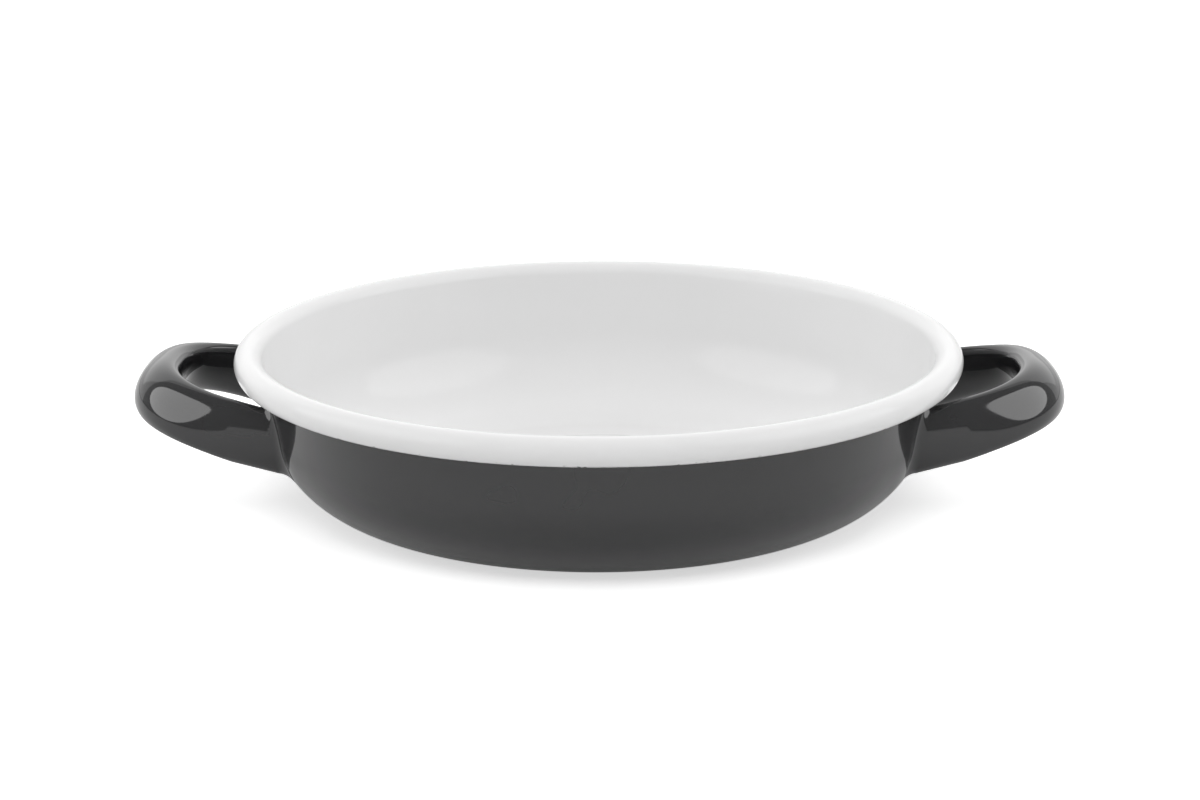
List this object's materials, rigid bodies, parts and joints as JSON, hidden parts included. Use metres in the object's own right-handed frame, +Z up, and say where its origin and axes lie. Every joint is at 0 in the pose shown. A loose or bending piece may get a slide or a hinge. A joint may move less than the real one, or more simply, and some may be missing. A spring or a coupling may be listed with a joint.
{
  "type": "enamelled frying pan",
  "caption": "Shallow round enamelled steel pan with a rolled rim, white inside and dark grey outside, with hollow loop handles welded to its wall.",
  "frame": {"origin": "middle of the ring the pan stands on, at table level", "axes": "+X through the two handles, +Z up"},
  "size_m": [0.3204, 0.25, 0.0555],
  "materials": {
    "grey_enamel": "glossy fired enamel",
    "white_enamel": "glossy fired enamel"
  },
  "bodies": {
    "root": {"pan_body": "grey_enamel", "white_lining": "white_enamel", "right_handle": "grey_enamel", "left_handle": "grey_enamel"}
  },
  "joints": []
}
